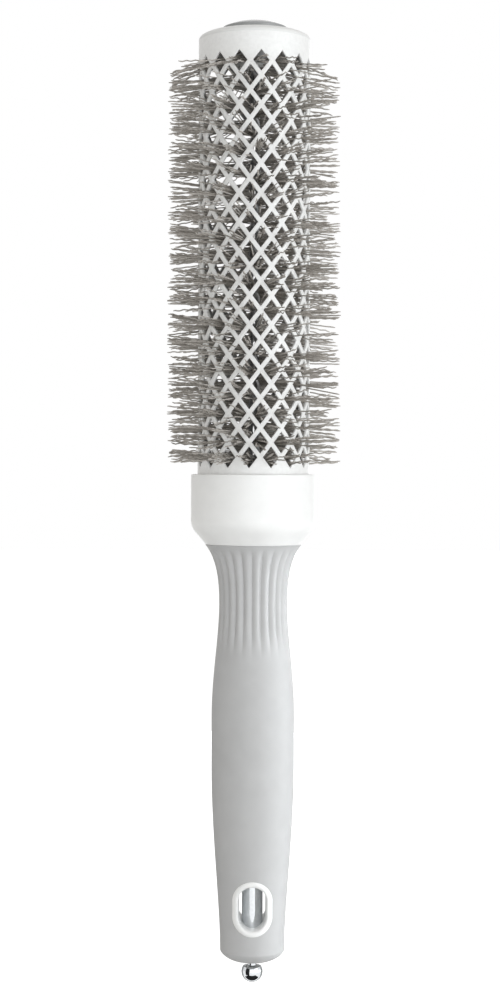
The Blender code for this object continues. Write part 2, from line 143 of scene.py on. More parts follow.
def roughen(finish, pattern, smoothest, roughest):
    """Varies the gloss over the surface."""
    nodes, links = finish.node_tree.nodes, finish.node_tree.links
    spread = nodes.new("ShaderNodeMapRange")
    spread.inputs["To Min"].default_value = smoothest
    spread.inputs["To Max"].default_value = roughest
    links.new(pattern, spread.inputs["Value"])
    links.new(spread.outputs["Result"], nodes["Principled BSDF"].inputs["Roughness"])


def emboss(finish, pattern, depth, strength=1.0):
    """Raises the pattern out of the surface by a depth in metres."""
    nodes, links = finish.node_tree.nodes, finish.node_tree.links
    bump = nodes.new("ShaderNodeBump")
    bump.inputs["Distance"].default_value = depth
    bump.inputs["Strength"].default_value = strength
    links.new(pattern, bump.inputs["Height"])
    links.new(bump.outputs["Normal"], nodes["Principled BSDF"].inputs["Normal"])


barrel_r = reach("barrel_tube")
barrel_bottom, barrel_top = (corner.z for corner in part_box("barrel_tube"))
row_names = sorted(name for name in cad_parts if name.startswith("bristle_row"))
row_heights = [sum(corner.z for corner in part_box(name)) / 2 for name in row_names]
row_pitch = row_heights[0] - row_heights[1]
cell_half_w = math.pi * barrel_r / HOLE_COLUMNS
side_half = math.hypot(cell_half_w, row_pitch) / 2

bpy.ops.object.select_all(action="DESELECT")
bpy.ops.mesh.primitive_circle_add(vertices=8, radius=1, fill_type="NGON", rotation=(math.pi / 2, 0, 0))
barrel = bpy.context.object
barrel.name = "barrel"
bpy.ops.object.transform_apply()
for side_middle in list(barrel.data.vertices)[1::2]:
    side_middle.co *= math.sqrt(0.5)
bpy.ops.object.mode_set(mode="EDIT")
bpy.ops.mesh.select_all(action="SELECT")
bpy.ops.transform.resize(value=(cell_half_w, 1, row_pitch), center_override=(0, 0, 0))
bpy.ops.mesh.inset(thickness=STRUT / 2)
bpy.ops.mesh.delete(type="FACE")
bpy.ops.mesh.select_all(action="SELECT")
bpy.ops.mesh.duplicate_move(TRANSFORM_OT_translate={"value": (cell_half_w, 0, -row_pitch)})
bpy.ops.mesh.select_all(action="SELECT")
bpy.ops.transform.translate(value=(barrel_r * FIRST_HOLE, 0, row_heights[0]))
bpy.ops.object.mode_set(mode="OBJECT")
repeat(barrel, HOLE_COLUMNS, (2 * cell_half_w, 0, 0))
repeat(barrel, len(row_heights) // 2, (0, 0, -2 * row_pitch))

bpy.ops.object.mode_set(mode="EDIT")
bpy.ops.mesh.select_all(action="SELECT")
bpy.ops.mesh.remove_doubles(threshold=WELD)
bpy.ops.mesh.select_mode(type="EDGE")
for row_height, end_height in ((row_heights[0], barrel_top), (row_heights[-1], barrel_bottom)):
    bpy.ops.mesh.select_all(action="DESELECT")
    onward = math.copysign(1, end_height - row_height)
    drawn = bmesh.from_edit_mesh(barrel.data)
    for edge in drawn.edges:
        rise = onward * (edge.verts[0].co.z + edge.verts[1].co.z - 2 * row_height)
        edge.select = edge.is_boundary and rise > 0 and edge.calc_length() > 0.9 * side_half
    drawn.select_flush_mode()
    bmesh.update_edit_mesh(barrel.data)
    bpy.ops.mesh.extrude_edges_move(TRANSFORM_OT_translate={"value": (0, 0, onward * row_pitch)})
    drawn = bmesh.from_edit_mesh(barrel.data)
    for vert in drawn.verts:
        if vert.select:
            vert.co.z = end_height
    bmesh.update_edit_mesh(barrel.data)
bpy.ops.mesh.select_mode(type="VERT")
bpy.ops.object.mode_set(mode="OBJECT")
bpy.context.view_layer.update()
apply_modifier(
    barrel,
    "SIMPLE_DEFORM",
    deform_method="BEND",
    deform_axis="Z",
    angle=barrel.dimensions.x / barrel_r,
)
bpy.ops.object.mode_set(mode="EDIT")
bpy.ops.mesh.select_all(action="SELECT")
bpy.ops.transform.translate(value=(0, -barrel_r, 0))
bpy.ops.object.mode_set(mode="OBJECT")
close_seams(barrel)
apply_modifier(barrel, "SOLIDIFY", thickness=BARREL_WALL, offset=-1)
bpy.ops.object.mode_set(mode="EDIT")
bpy.ops.mesh.select_mode(type="EDGE")
drawn = bmesh.from_edit_mesh(barrel.data)
for edge in drawn.edges:
    height = (edge.verts[0].co.z + edge.verts[1].co.z) / 2
    at_hole = barrel_bottom + WELD < height < barrel_top - WELD
    edge.select = at_hole and edge.calc_face_angle(0) > SMOOTH_ANGLE
drawn.select_flush_mode()
bmesh.update_edit_mesh(barrel.data)
bpy.ops.mesh.bevel(offset=COATED_EDGE, segments=2, affect="EDGES")
bpy.ops.mesh.select_mode(type="VERT")
bpy.ops.object.mode_set(mode="OBJECT")
bpy.ops.object.shade_smooth_by_angle(angle=SMOOTH_ANGLE)

ceramic = new_finish("white_ceramic", (0.85, 0.85, 0.84), 0.34)
ceramic_mottle = speckle(ceramic, 0.0012, 4.0)
tint(ceramic, ceramic_mottle, (0.82, 0.82, 0.81), (0.88, 0.88, 0.87))
roughen(ceramic, ceramic_mottle, 0.26, 0.46)
emboss(ceramic, speckle(ceramic, 0.0004), 0.00002, 0.5)
dress(barrel, "brush", ceramic, "coated_barrel", "barrel_tube")

# The inside faces' dark grey is painted shade for the dim inside of the barrel.
painted_shade_inner_metal = new_finish("bare_aluminium_painted_shade", (0.4, 0.4, 0.4), 0.6)
oxide = speckle(painted_shade_inner_metal, 0.0009, 3.0)
tint(painted_shade_inner_metal, oxide, (0.36, 0.36, 0.36), (0.44, 0.44, 0.44))
roughen(painted_shade_inner_metal, oxide, 0.5, 0.7)
barrel.data.materials.append(painted_shade_inner_metal)
for face in barrel.data.polygons:
    if face.center.xy.length < barrel_r - 0.9 * BARREL_WALL:
        face.material_index = 1

# Core wires: two galvanised steel wires twisted tightly round each other, with the middles of the
# bristles caught between them. They run from the handle's tang up into the cap.
WIRE_R, WIRE_HALF_GAP = 0.00085, 0.00025  # the middles of the bristles fill the gap
RING_STEP = 0.006766  # height from one ring of bristles to the next, half a turn of the pair
WIRE_POINTS = 18  # for each turn
wire_bottom, wire_top = (corner.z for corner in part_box("core_wire_a"))
wire_offset = WIRE_R + WIRE_HALF_GAP
wire_turns = (wire_top - wire_bottom) / (2 * RING_STEP)
galvanised = new_finish("galvanised_wire", (0.26, 0.26, 0.26), 0.4, 1.0)
zinc_bloom = speckle(galvanised, 0.0006, 3.0)
tint(galvanised, zinc_bloom, (0.19, 0.19, 0.185), (0.33, 0.33, 0.33))
roughen(galvanised, zinc_bloom, 0.3, 0.55)
for node, half_turn in (("core_wire_a", 0), ("core_wire_b", math.pi)):
    bpy.ops.object.select_all(action="DESELECT")
    bpy.ops.curve.primitive_nurbs_path_add()
    wire = bpy.context.object
    wire.name = node.replace("core", "twisted")
    wire.data.splines.clear()
    wire.data.bevel_depth = WIRE_R
    wire.data.bevel_resolution = 2
    wire.data.use_fill_caps = True
    count = round(wire_turns * WIRE_POINTS)
    line = wire.data.splines.new("POLY")
    line.points.add(count)
    for i, point in enumerate(line.points):
        height = wire_bottom + (wire_top - wire_bottom) * i / count
        bearing = half_turn - 2 * math.pi * wire_turns * i / count
        point.co = (wire_offset * math.sin(bearing), -wire_offset * math.cos(bearing), height, 1)
    bpy.ops.object.convert(target="MESH")
    close_seams(wire)
    bpy.ops.object.shade_smooth_by_angle(angle=SMOOTH_ANGLE)
    dress(wire, "brush", galvanised, "twisted_wire", node)

# Bristles: crimped taupe nylon filaments. The wires pinch them in rings that wind round with the twist.
# Each filament comes out through a hole of the barrel. One piece for each row of holes.
FILAMENT_R = 0.0002
TUFT = 16  # filaments that a hole has room for
FULLNESS, LEFT_FULLNESS, BACK_FULLNESS = 0.31, 0.075, 0.15  # share of them that it has, and by side
RING_HEIGHT, RING_SLANT = 0.22245, 0.0011  # of one ring at the front, and its lift towards the right
BANDING = 0.9  # how much fuller a ring is than its surroundings
GATHER = 0.75  # how far the roots lean towards their ring
ROOT_R = 0.0017
ROOT_SCATTER, ROOT_TURN = 0.0004, 0.35  # spread of the roots in height, and in bearing
CROWN_RISE, CROWN_ROWS = 0.0052, 3  # lift of the roots under the cap, and the rows it fades over
HOLE_USE = 0.78  # share of a hole that filaments pass through
SHORTEST_TIP, TIP_EVENNESS = 0.0016, 1.5  # by which the shortest tips stay back, and how rare they are
CRIMP, CRIMP_LENGTH = 0.00017, 0.0031
WEAKEST_CRIMP, STRONGEST_CRIMP = 0.5, 1.3
STRAY = 0.042  # sideways slope of a filament outside its hole
TIP_TAPER = 0.6
FILAMENT_ANGLE = math.radians(100)
INNER_POINTS, OUTER_POINTS = 5, 14
tip_r = reach(row_names[0])
cell_band = cell_half_w * row_pitch / side_half
hole_share = (1 - STRUT / cell_band) * HOLE_USE


def out_from_axis(radius, bearing, height):
    return Vector((radius * math.sin(bearing), -radius * math.cos(bearing), height))


def off_ring(bearing, height):
    """Height above the nearest ring of bristles, as a share of the step between rings."""
    ring_height = RING_HEIGHT + RING_SLANT * math.sin(bearing) - RING_STEP * bearing / math.pi
    return ((height - ring_height) / RING_STEP + 0.5) % 1 - 0.5


def fullness(bearing, height):
    """Chance that a place in a hole has a filament."""
    leftward, backward = -math.sin(bearing), max(0, -math.cos(bearing))
    banding = BANDING * math.cos(2 * math.pi * off_ring(bearing, height))
    return (FULLNESS + LEFT_FULLNESS * leftward + BACK_FULLNESS * backward**6) * (1 + banding)


def filament(draw, bearing, height):
    """Points of one filament from the wires, through a place in a hole, to its tip."""
    root_height = height - GATHER * off_ring(bearing, height) * RING_STEP + draw.gauss(0, ROOT_SCATTER)
    under_cap = max(0, 1 - (row_heights[0] + row_pitch - height) / (CROWN_ROWS * row_pitch))
    root_height = min(root_height + CROWN_RISE * under_cap, wire_top)
    root = out_from_axis(ROOT_R, bearing + draw.gauss(0, ROOT_TURN), root_height)
    exit_point = out_from_axis(barrel_r - BARREL_WALL / 2, bearing, height)
    onward = (exit_point - root).normalized()
    sideways = onward.cross((0, 0, 1)).normalized()
    upward = sideways.cross(onward)
    onward = (onward + sideways * draw.gauss(0, STRAY) + upward * draw.gauss(0, STRAY)).normalized()
    tip_distance = tip_r - exit_point.xy.length - SHORTEST_TIP * draw.random() ** TIP_EVENNESS
    wave_turn = draw.uniform(0, 2 * math.pi)
    wave = (sideways * math.cos(wave_turn) + upward * math.sin(wave_turn)) * CRIMP
    wave *= draw.uniform(WEAKEST_CRIMP, STRONGEST_CRIMP)
    phase = draw.uniform(0, 2 * math.pi)
    points = [root.lerp(exit_point, i / INNER_POINTS) for i in range(INNER_POINTS)]
    for i in range(OUTER_POINTS):
        distance = tip_distance * i / (OUTER_POINTS - 1)
        swing = min(1, 4 * i / OUTER_POINTS) * math.sin(phase + 2 * math.pi * distance / CRIMP_LENGTH)
        points.append(exit_point + onward * distance + wave * swing)
    return points


nylon_shades = []
for name, colour in (
    ("taupe_nylon_deep", (0.33, 0.304, 0.274)),
    ("taupe_nylon", (0.44, 0.408, 0.373)),
    ("taupe_nylon_pale", (0.55, 0.517, 0.48)),
):
    nylon = new_finish(name, colour, 0.42)
    streaks = speckle(nylon, 0.0009, 2.0)
    tint(nylon, streaks, [0.85 * tone for tone in colour], [1.15 * tone for tone in colour])
    roughen(nylon, streaks, 0.34, 0.52)
    nylon_shades.append(nylon)

draw = random.Random(28)
for row, (node, hole_height) in enumerate(zip(row_names, row_heights)):
    bpy.ops.object.select_all(action="DESELECT")
    bpy.ops.curve.primitive_nurbs_path_add()
    bristles = bpy.context.object
    bristles.name = node.replace("bristle_row", "filaments")
    bristles.data.splines.clear()
    bristles.data.bevel_depth = FILAMENT_R
    bristles.data.bevel_resolution = 0
    bristles.data.use_fill_caps = True
    for shade in nylon_shades:
        bristles.data.materials.append(shade)
    for column in range(HOLE_COLUMNS):
        hole_bearing = FIRST_HOLE + (column + row % 2 / 2) * 2 * math.pi / HOLE_COLUMNS
        for _ in range(TUFT):
            across = draw.uniform(-hole_share, hole_share)
            along = draw.uniform(-hole_share, hole_share)
            bearing = hole_bearing + (across + along) / 2 * cell_half_w / barrel_r
            height = hole_height + (across - along) / 2 * row_pitch
            if draw.random() > fullness(bearing, height):
                continue
            points = filament(draw, bearing, height)
            line = bristles.data.splines.new("POLY")
            line.material_index = draw.randrange(len(nylon_shades))
            line.points.add(len(points) - 1)
            line.points.foreach_set("co", [value for point in points for value in (*point, 1)])
            line.points[-1].radius = TIP_TAPER
    bpy.ops.object.convert(target="MESH")
    close_seams(bristles)
    bpy.ops.object.shade_smooth_by_angle(angle=FILAMENT_ANGLE)
    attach(bristles, "brush")
    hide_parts(node)

# Tip cap: a glossy white moulding pushed into the barrel's upper end. It carries on the barrel's side
# in a rounded shoulder, with a shallow round recess in its crown.
HAIRLINE = 0.00002  # seam that shows between two pieces that meet flush
TURN_STEPS = 128
SHOULDER_RISE, SHOULDER_RUN = 0.0025, 0.0076
RECESS_DEPTH, RECESS_GAP = 0.0012, 0.0002
RIM_ROUND, RIM_BLEND = 0.0003, 2  # radius of the rim, and the degrees of shoulder it takes up
SKIRT_R, SKIRT_DROP = 0.0162, 0.0056
CAP_WALL = 0.0015
HUB_R = 0.0045


def arc(centre_r, centre_z, half_r, half_z, from_degrees, to_degrees, count):
    """Points of an elliptical arc in the (radius, height) plane."""
    points = []
    for i in range(count + 1):
        turn = math.radians(from_degrees + (to_degrees - from_degrees) * i / count)
        points.append((centre_r + half_r * math.cos(turn), centre_z + half_z * math.sin(turn)))
    return points


def lathe(name, outline, steps=TURN_STEPS):
    """Draws an outline of (radius, height) points and turns it about the axis."""
    bpy.ops.object.select_all(action="DESELECT")
    bpy.ops.mesh.primitive_plane_add(size=WELD)
    piece = bpy.context.object
    piece.name = name
    bpy.ops.object.mode_set(mode="EDIT")
    bpy.ops.mesh.merge(type="CENTER")
    bpy.ops.transform.translate(value=(outline[0][0], 0, outline[0][1]))
    for (from_r, from_z), (to_r, to_z) in zip(outline, outline[1:]):
        step = (to_r - from_r, 0, to_z - from_z)
        bpy.ops.mesh.extrude_vertices_move(TRANSFORM_OT_translate={"value": step})
    bpy.ops.object.mode_set(mode="OBJECT")
    apply_modifier(
        piece, "SCREW", steps=steps, render_steps=steps, use_merge_vertices=True, merge_threshold=WELD
    )
    close_seams(piece)
    bpy.ops.object.shade_smooth_by_angle(angle=SMOOTH_ANGLE)
    return piece


cap_bottom, cap_rim = (corner.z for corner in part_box("tip_cap"))
button_r = reach("tip_button")
recess_r = button_r + RECESS_GAP
recess_floor = cap_rim - RECESS_DEPTH
shoulder_base = cap_rim - SHOULDER_RISE * math.sqrt(1 - ((recess_r - barrel_r) / SHOULDER_RUN + 1) ** 2)
shoulder_top = math.degrees(math.acos((recess_r + RIM_ROUND - barrel_r) / SHOULDER_RUN + 1))
cap_outline = [(0, recess_floor), (recess_r, recess_floor)]
cap_outline += arc(recess_r + RIM_ROUND, cap_rim - RIM_ROUND, RIM_ROUND, RIM_ROUND, 180, 90, 4)
cap_outline += arc(
    barrel_r - SHOULDER_RUN, shoulder_base, SHOULDER_RUN, SHOULDER_RISE, shoulder_top - RIM_BLEND, 0, 28
)
cap_outline += [
    (barrel_r, barrel_top + HAIRLINE),
    (SKIRT_R, barrel_top + HAIRLINE),
    (SKIRT_R, barrel_top - SKIRT_DROP),
    (SKIRT_R - CAP_WALL, barrel_top - SKIRT_DROP),
    (SKIRT_R - CAP_WALL, recess_floor - CAP_WALL),
    (HUB_R, recess_floor - CAP_WALL),
    (HUB_R, cap_bottom),
    (0, cap_bottom),
]
cap = lathe("cap", cap_outline)


def white_moulding(name, tone):
    """Glossy white plastic, a trace warm, with faint marks of its flow in the mould."""
    warmth, flow = 0.01, 0.015
    dark, light = tone - flow, tone + flow
    made = new_finish(name, (tone, tone, tone - warmth), 0.4)
    tint(made, speckle(made, 0.004, 3.0), (dark, dark, dark - warmth), (light, light, light - warmth))
    roughen(made, speckle(made, 0.0007, 3.0), 0.34, 0.46)
    emboss(made, speckle(made, 0.0016), 0.000012, 0.4)
    return made


# The cap's white is a darker copy of the collar's: painted shade for the weaker light at the top of the
# brush.
dress(cap, "brush", white_moulding("white_gloss_cap_painted_shade", 0.78), "white_plastic", "tip_cap")

# Tip button: a domed disc of glossy grey plastic, snapped into the recess of the cap. Its dome stands
# above the cap's rim.
BUTTON_RISE = 0.0022
BUTTON_EDGE = 0.0004
button_floor, button_apex = (corner.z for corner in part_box("tip_button"))
dome_r = (button_r**2 + BUTTON_RISE**2) / (2 * BUTTON_RISE)
dome_edge = math.degrees(math.acos((button_r - BUTTON_EDGE) / dome_r))
button_outline = [(0, button_apex)]
button_outline += arc(0, button_apex - dome_r, dome_r, dome_r, 90, dome_edge, 24)[1:]
edge_z = button_outline[-1][1] - BUTTON_EDGE
button_outline += arc(button_r - BUTTON_EDGE, edge_z, BUTTON_EDGE, BUTTON_EDGE, dome_edge - 10, 0, 5)
button_outline += [(button_r, button_floor), (0, button_floor)]
button = lathe("button", button_outline)

grey_gloss = new_finish("grey_gloss_plastic", (0.305, 0.31, 0.308), 0.2)
grey_flow = speckle(grey_gloss, 0.003, 3.0)
tint(grey_gloss, grey_flow, (0.285, 0.29, 0.288), (0.325, 0.33, 0.328))
roughen(grey_gloss, speckle(grey_gloss, 0.0006, 3.0), 0.15, 0.28)
dress(button, "brush", grey_gloss, "grey_plastic", "tip_button")

# Collar: a glossy white ferrule that takes the barrel's lower end in a cup and curves in to the grip.
# It is pushed onto the boss of the handle's core.
COLLAR_FLARE = 0.0074
COLLAR_EDGE, COLLAR_LIP = 0.0005, 0.0002
CUP_DEPTH, CUP_GAP = 0.0113, 0.0003
BOSS_R, TANG_R = 0.013, 0.0083
BOSS_RECESS = 0.008


def curve(start, start_pull, end, end_pull, count):
    """Points of a Bezier curve in the (radius, height) plane."""
    start, end = Vector((*start, 0)), Vector((*end, 0))
    handles = start + Vector((*start_pull, 0)), end + Vector((*end_pull, 0))
    return [(point.x, point.y) for point in interpolate_bezier(start, *handles, end, count + 1)]


collar_r = reach("collar")
collar_foot, collar_top = (corner.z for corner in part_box("collar"))
seam_r = reach("grip_sleeve")
cup_r, cup_edge = barrel_r + CUP_GAP, COLLAR_EDGE / 2
edge_height = collar_top - COLLAR_EDGE
collar_outline = arc(collar_r - COLLAR_EDGE, edge_height, COLLAR_EDGE, COLLAR_EDGE, 90, 0, 6)
collar_outline += curve(
    (collar_r, collar_foot + COLLAR_FLARE),
    (0, -0.4 * COLLAR_FLARE),
    (seam_r, collar_foot + COLLAR_LIP),
    (0.25 * COLLAR_FLARE, 0.33 * COLLAR_FLARE),
    24,
)
collar_outline += [
    (seam_r - COLLAR_LIP, collar_foot),
    (BOSS_R, collar_foot),
    (BOSS_R, collar_foot + BOSS_RECESS),
    (TANG_R, collar_foot + BOSS_RECESS),
    (TANG_R, collar_top - CUP_DEPTH),
    (cup_r, collar_top - CUP_DEPTH),
]
collar_outline += arc(cup_r + cup_edge, collar_top - cup_edge, cup_edge, cup_edge, 180, 90, 4)
collar_outline.append(collar_outline[0])
collar = lathe("ferrule", collar_outline)
# The collar's and eyelet's white is a lighter copy of the cap's: painted light for the stronger light
# lower down the brush.
white_gloss = white_moulding("white_gloss_plastic", 0.9)
dress(collar, "brush", white_gloss, "white_plastic", "collar")

# Inner mouldings: the plug in the barrel's lower end, the handle's core and the stop on the pick's inner
# end, all of plain natural plastic. Other pieces cover them, so the CAD shapes stay.
natural = new_finish("natural_plastic", (0.72, 0.71, 0.67), 0.5)
natural_flow = speckle(natural, 0.003, 3.0)
tint(natural, natural_flow, (0.68, 0.67, 0.63), (0.76, 0.75, 0.71))
roughen(natural, natural_flow, 0.42, 0.6)
for node in ("base_plug", "handle_core", "pick_stop"):
    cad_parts[node].data.materials.clear()
    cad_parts[node].data.materials.append(natural)

# Grip: soft grey rubber-like plastic moulded over the core. Shallow flutes run down its neck and fade
# out towards the swollen middle, and an oval slot goes through its lower end.
GRIP_STEPS = 384
GRIP_WALL, GRIP_EDGE = 0.002, 0.0003
NECK_R, NECK_HEIGHT = 0.01066, 0.0425
BELLY_R, BELLY_HALF = 0.01288, 0.008
END_R, END_DEPTH, END_ROUND = 0.010, 0.0653, 0.0035
FLUTES = 24
FLUTE_TURN = math.radians(-2)  # bearing of the crease at the front
FLUTE_DEPTH = 0.0007
FLUTE_MARGIN, FLUTE_LENGTH = 0.0005, 0.035
FLUTE_FADE_IN, FLUTE_FADE_OUT = 0.1, 0.32  # shares of the length over which a flute deepens and fades
SLOT_WALL, SLOT_OVERLAP = 0.00175, 0.0002  # of the slot's lining, and its hold on the grip's cut
SLOT_POINTS = 64
MOUTH_GAP = 0.0003
grip_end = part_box("grip_sleeve")[0].z
grip_top = collar_foot - HAIRLINE
liner_low, liner_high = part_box("slot_liner")
slot_half_w = liner_high.x - SLOT_WALL
slot_half_h = (liner_high.z - liner_low.z) / 2 - SLOT_WALL
slot_height = (liner_high.z + liner_low.z) / 2
tube_r = reach("pick_tube")
mouth_r = tube_r + MOUTH_GAP


def handle_side(inset, count):
    """Outer side of the handle, set in by a wall, from the seam down to the mouth."""
    flare, waist, taper = grip_top - NECK_HEIGHT, NECK_HEIGHT - BELLY_HALF, END_DEPTH - BELLY_HALF
    neck, belly = (NECK_R - inset, NECK_HEIGHT), (BELLY_R - inset, BELLY_HALF)
    foot, mouth = (END_R - inset, -END_DEPTH), (mouth_r, grip_end + inset)
    end_w, end_h = END_R - inset - mouth_r, END_ROUND - inset
    seam, seam_pull = (seam_r - inset, grip_top), (-0.192 * flare, -0.256 * flare)
    side = curve(seam, seam_pull, neck, (0, 0.4 * flare), count)
    side += curve(neck, (0, -0.28 * waist), belly, (0, 0.34 * waist), count)[1:]
    side += curve((BELLY_R - inset, -BELLY_HALF), (0, -0.36 * taper), foot, (0, 0.24 * taper), count)
    side += curve(foot, (0, -0.23 * end_h), mouth, (0.6 * end_w, 0), count)[1:]
    return side


outer_side = handle_side(0, 36)
grip_outline = [(seam_r - GRIP_WALL, grip_top)]
grip_outline += arc(seam_r - GRIP_EDGE, grip_top - GRIP_EDGE, GRIP_EDGE, GRIP_EDGE, 90, 20, 3)
grip_outline += outer_side[1:]
grip_outline += [(mouth_r, grip_end + GRIP_WALL)] + handle_side(GRIP_WALL, 8)[::-1]
grip_outline[-1] = grip_outline[0]
grip = lathe("grip", grip_outline, GRIP_STEPS)

for vert in grip.data.vertices:
    radius = vert.co.xy.length
    share = (grip_top - FLUTE_MARGIN - vert.co.z) / FLUTE_LENGTH
    if 0 < share < 1 and radius > NECK_R - GRIP_WALL / 2:
        bearing = math.atan2(vert.co.x, -vert.co.y)
        fade = min(1, share / FLUTE_FADE_IN, (1 - share) / FLUTE_FADE_OUT)
        crease = 1 - abs(math.sin(FLUTES * (bearing - FLUTE_TURN) / 2))
        depth = FLUTE_DEPTH * fade * fade * (3 - 2 * fade) * crease
        vert.co.xy *= 1 - depth / radius


def oval(half_w, half_h, count):
    """Points of an upright round-ended outline, as (across, height)."""
    points = []
    for i in range(count):
        turn = 2 * math.pi * (i + 0.5) / count
        end_height = slot_height + math.copysign(half_h - half_w, math.sin(turn))
        points.append((half_w * math.cos(turn), end_height + half_w * math.sin(turn)))
    return points


bpy.ops.object.select_all(action="DESELECT")
bpy.ops.mesh.primitive_cylinder_add(
    vertices=SLOT_POINTS, radius=1, depth=4 * BELLY_R, rotation=(math.pi / 2, 0, 0)
)
slot_tool = bpy.context.object
bpy.ops.object.transform_apply()
cut_margin = SLOT_WALL - SLOT_OVERLAP
cut_outline = oval(slot_half_w + cut_margin, slot_half_h + cut_margin, SLOT_POINTS)
for vert in slot_tool.data.vertices:
    turn = math.atan2(vert.co.z, vert.co.x) % (2 * math.pi)
    place = math.floor(turn / (2 * math.pi) * SLOT_POINTS + 0.25) % SLOT_POINTS
    vert.co.x, vert.co.z = cut_outline[place]
apply_modifier(grip, "BOOLEAN", operation="DIFFERENCE", object=slot_tool)
bpy.data.objects.remove(slot_tool)
bpy.ops.object.select_all(action="DESELECT")
grip.select_set(True)
bpy.ops.object.shade_smooth_by_angle(angle=SMOOTH_ANGLE)

soft_touch = new_finish("soft_touch_grey", (0.52, 0.52, 0.52), 0.56)
grip_grain = speckle(soft_touch, 0.00022, 2.0)
soft_touch.node_tree.nodes["Principled BSDF"].inputs["Specular IOR Level"].default_value = 0.3
tint(soft_touch, speckle(soft_touch, 0.006, 4.0), (0.505, 0.505, 0.505), (0.535, 0.535, 0.535))
roughen(soft_touch, speckle(soft_touch, 0.0011, 3.0), 0.48, 0.66)
emboss(soft_touch, grip_grain, 0.000012, 0.5)
dress(grip, "brush", soft_touch, "soft_grip", "grip_sleeve")

# Slot liner: a white moulded eyelet that lines the slot from front to back, with a soft bead that
# stands a little proud of the grip on both sides. The guide tube passes through it.
BEAD = (  # (distance out from the slot's wall, height over the grip) from the buried rim to the slot
    (0.00175, -0.0008),
    (0.00175, 0.00005),
    (0.0016, 0.00022),
    (0.0012, 0.00034),
    (0.0007, 0.00034),
    (0.0003, 0.0002),
    (0.00006, -0.0001),
    (0.0, -0.0006),
    (-0.00035, -0.0045),
)
SLOT_SAG = 0.0007  # by which the slot's floor falls off inwards


def grip_depth(across, height):
    """Distance from the handle's middle plane to the grip's surface."""
    pairs = zip(outer_side, outer_side[1:])
    upper, lower = next(pair for pair in pairs if pair[0][1] >= height >= pair[1][1])
    share = (upper[1] - height) / (upper[1] - lower[1])
    radius = upper[0] + (lower[0] - upper[0]) * share
    return math.sqrt(radius**2 - across**2)


bpy.ops.object.select_all(action="DESELECT")
bpy.ops.mesh.primitive_torus_add(major_segments=SLOT_POINTS, minor_segments=2 * len(BEAD))
liner = bpy.context.object
liner.name = "eyelet"
for ring, (out, proud) in enumerate(BEAD):
    outline = oval(slot_half_w + out, slot_half_h + out, SLOT_POINTS)
    for place, (across, height) in enumerate(outline):
        depth = grip_depth(across, height) + proud
        if ring == len(BEAD) - 1:
            height -= SLOT_SAG * max(0, (slot_height - height) / slot_half_h)
        first = place * 2 * len(BEAD)
        liner.data.vertices[first + ring].co = (across, -depth, height)
        liner.data.vertices[first + 2 * len(BEAD) - 1 - ring].co = (across, depth, height)
close_seams(liner)
bpy.ops.object.select_all(action="DESELECT")
bpy.ops.mesh.primitive_cylinder_add(
    vertices=TURN_STEPS, radius=tube_r + HAIRLINE, depth=4 * slot_half_h, location=(0, 0, slot_height)
)
tube_bore = bpy.context.object
apply_modifier(liner, "BOOLEAN", operation="DIFFERENCE", object=tube_bore)
bpy.data.objects.remove(tube_bore)
liner.select_set(True)
bpy.ops.object.shade_smooth_by_angle(angle=SMOOTH_ANGLE)
dress(liner, "brush", white_gloss, "white_plastic", "slot_liner")

# Guide tube: a bright chromed steel tube across the slot, fixed in the core. The pick slides in it.
# A plain bush closes its mouth round the rod.
TUBE_WALL, TUBE_EDGE = 0.00075, 0.00015
BUSH_GAP = 0.0002
THIN_STEPS = 64  # round the bush and the rod
tube_bottom, tube_top = (corner.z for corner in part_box("pick_tube"))
tube_bore_r = tube_r - TUBE_WALL
tube_outline = [
    (tube_r - TUBE_EDGE, tube_top),
    (tube_r, tube_top - TUBE_EDGE),
    (tube_r, tube_bottom + TUBE_EDGE),
    (tube_r - TUBE_EDGE, tube_bottom),
    (tube_bore_r, tube_bottom),
    (tube_bore_r, tube_top),
]
tube = lathe("guide_tube", tube_outline + tube_outline[:1])

chrome = new_finish("chrome_plate", (0.66, 0.68, 0.7), 0.06, 1.0)
chrome_haze = speckle(chrome, 0.0008, 3.0)
tint(chrome, chrome_haze, (0.635, 0.655, 0.675), (0.685, 0.705, 0.725))
roughen(chrome, chrome_haze, 0.03, 0.09)
dress(tube, "brush", chrome, "chrome_plate", "pick_tube")

bush_foot, bush_top = (corner.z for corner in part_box("mouth_bush"))
bush_r = reach("mouth_bush")
rod_r = reach("pick_rod")
bush_bore_r = rod_r + BUSH_GAP
bush_outline = [
    (bush_bore_r, bush_top),
    (tube_bore_r - BUSH_GAP, bush_top),
    (tube_bore_r - BUSH_GAP, tube_bottom - TUBE_EDGE),
    (bush_r, tube_bottom - TUBE_EDGE),
    (bush_r, bush_foot + TUBE_EDGE),
    (bush_r - TUBE_EDGE, bush_foot),
    (bush_bore_r + TUBE_EDGE, bush_foot),
    (bush_bore_r, bush_foot + TUBE_EDGE),
]
bush = lathe("bush", bush_outline + bush_outline[:1], THIN_STEPS)
dress(bush, "brush", natural, "inner_plastic", "mouth_bush")

# Sectioning pick: a thin chromed rod with a ball pressed onto its lower end for a pull. The stop on its
# inner end and the rubber ring in the stop's groove stay inside the tube.
BALL_R = 0.0033
BALL_NECK = 0.0003
rod_bottom, rod_top = (corner.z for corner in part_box("pick_rod"))
rod_outline = [
    (0, rod_top),
    (rod_r - TUBE_EDGE, rod_top),
    (rod_r, rod_top - TUBE_EDGE),
    (rod_r, rod_bottom + TUBE_EDGE),
    (rod_r - TUBE_EDGE, rod_bottom),
    (0, rod_bottom),
]
rod = lathe("pick_pin", rod_outline, THIN_STEPS)
dress(rod, "pick", chrome, "chrome_plate", "pick_rod")

